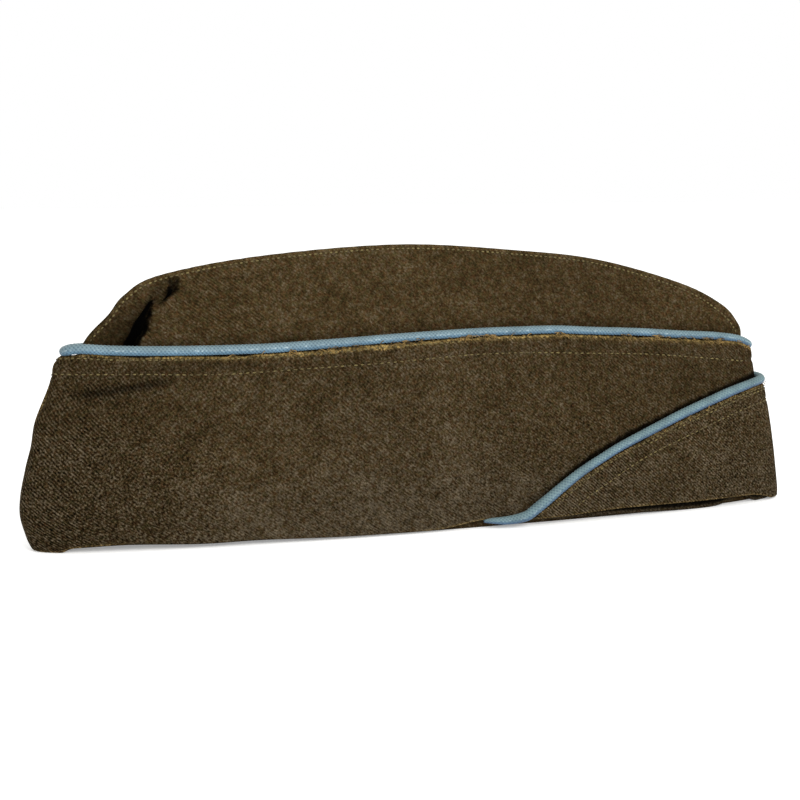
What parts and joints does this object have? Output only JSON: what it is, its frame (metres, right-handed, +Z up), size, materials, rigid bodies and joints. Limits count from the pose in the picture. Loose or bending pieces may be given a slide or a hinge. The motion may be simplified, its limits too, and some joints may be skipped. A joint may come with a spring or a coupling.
{
  "type": "side cap",
  "caption": "Folding wool side cap with a peaked crown, a turned-up curtain that laps over itself at the back, and round braid piping along the curtain's edge.",
  "frame": {"origin": "under the middle of the cap's box, on the surface that it stands on", "axes": "+X from the front of the cap to the back, +Y to the wearer's right, +Z up from the hem to the crest"},
  "size_m": [0.286, 0.0394, 0.1008],
  "materials": {
    "wool": "matte heathered twill",
    "braid": "satin tubular braid"
  },
  "bodies": {
    "root": {"crown_left": "wool", "crown_right": "wool", "curtain_left": "wool", "curtain_right": "wool", "piping": "braid"}
  },
  "joints": []
}
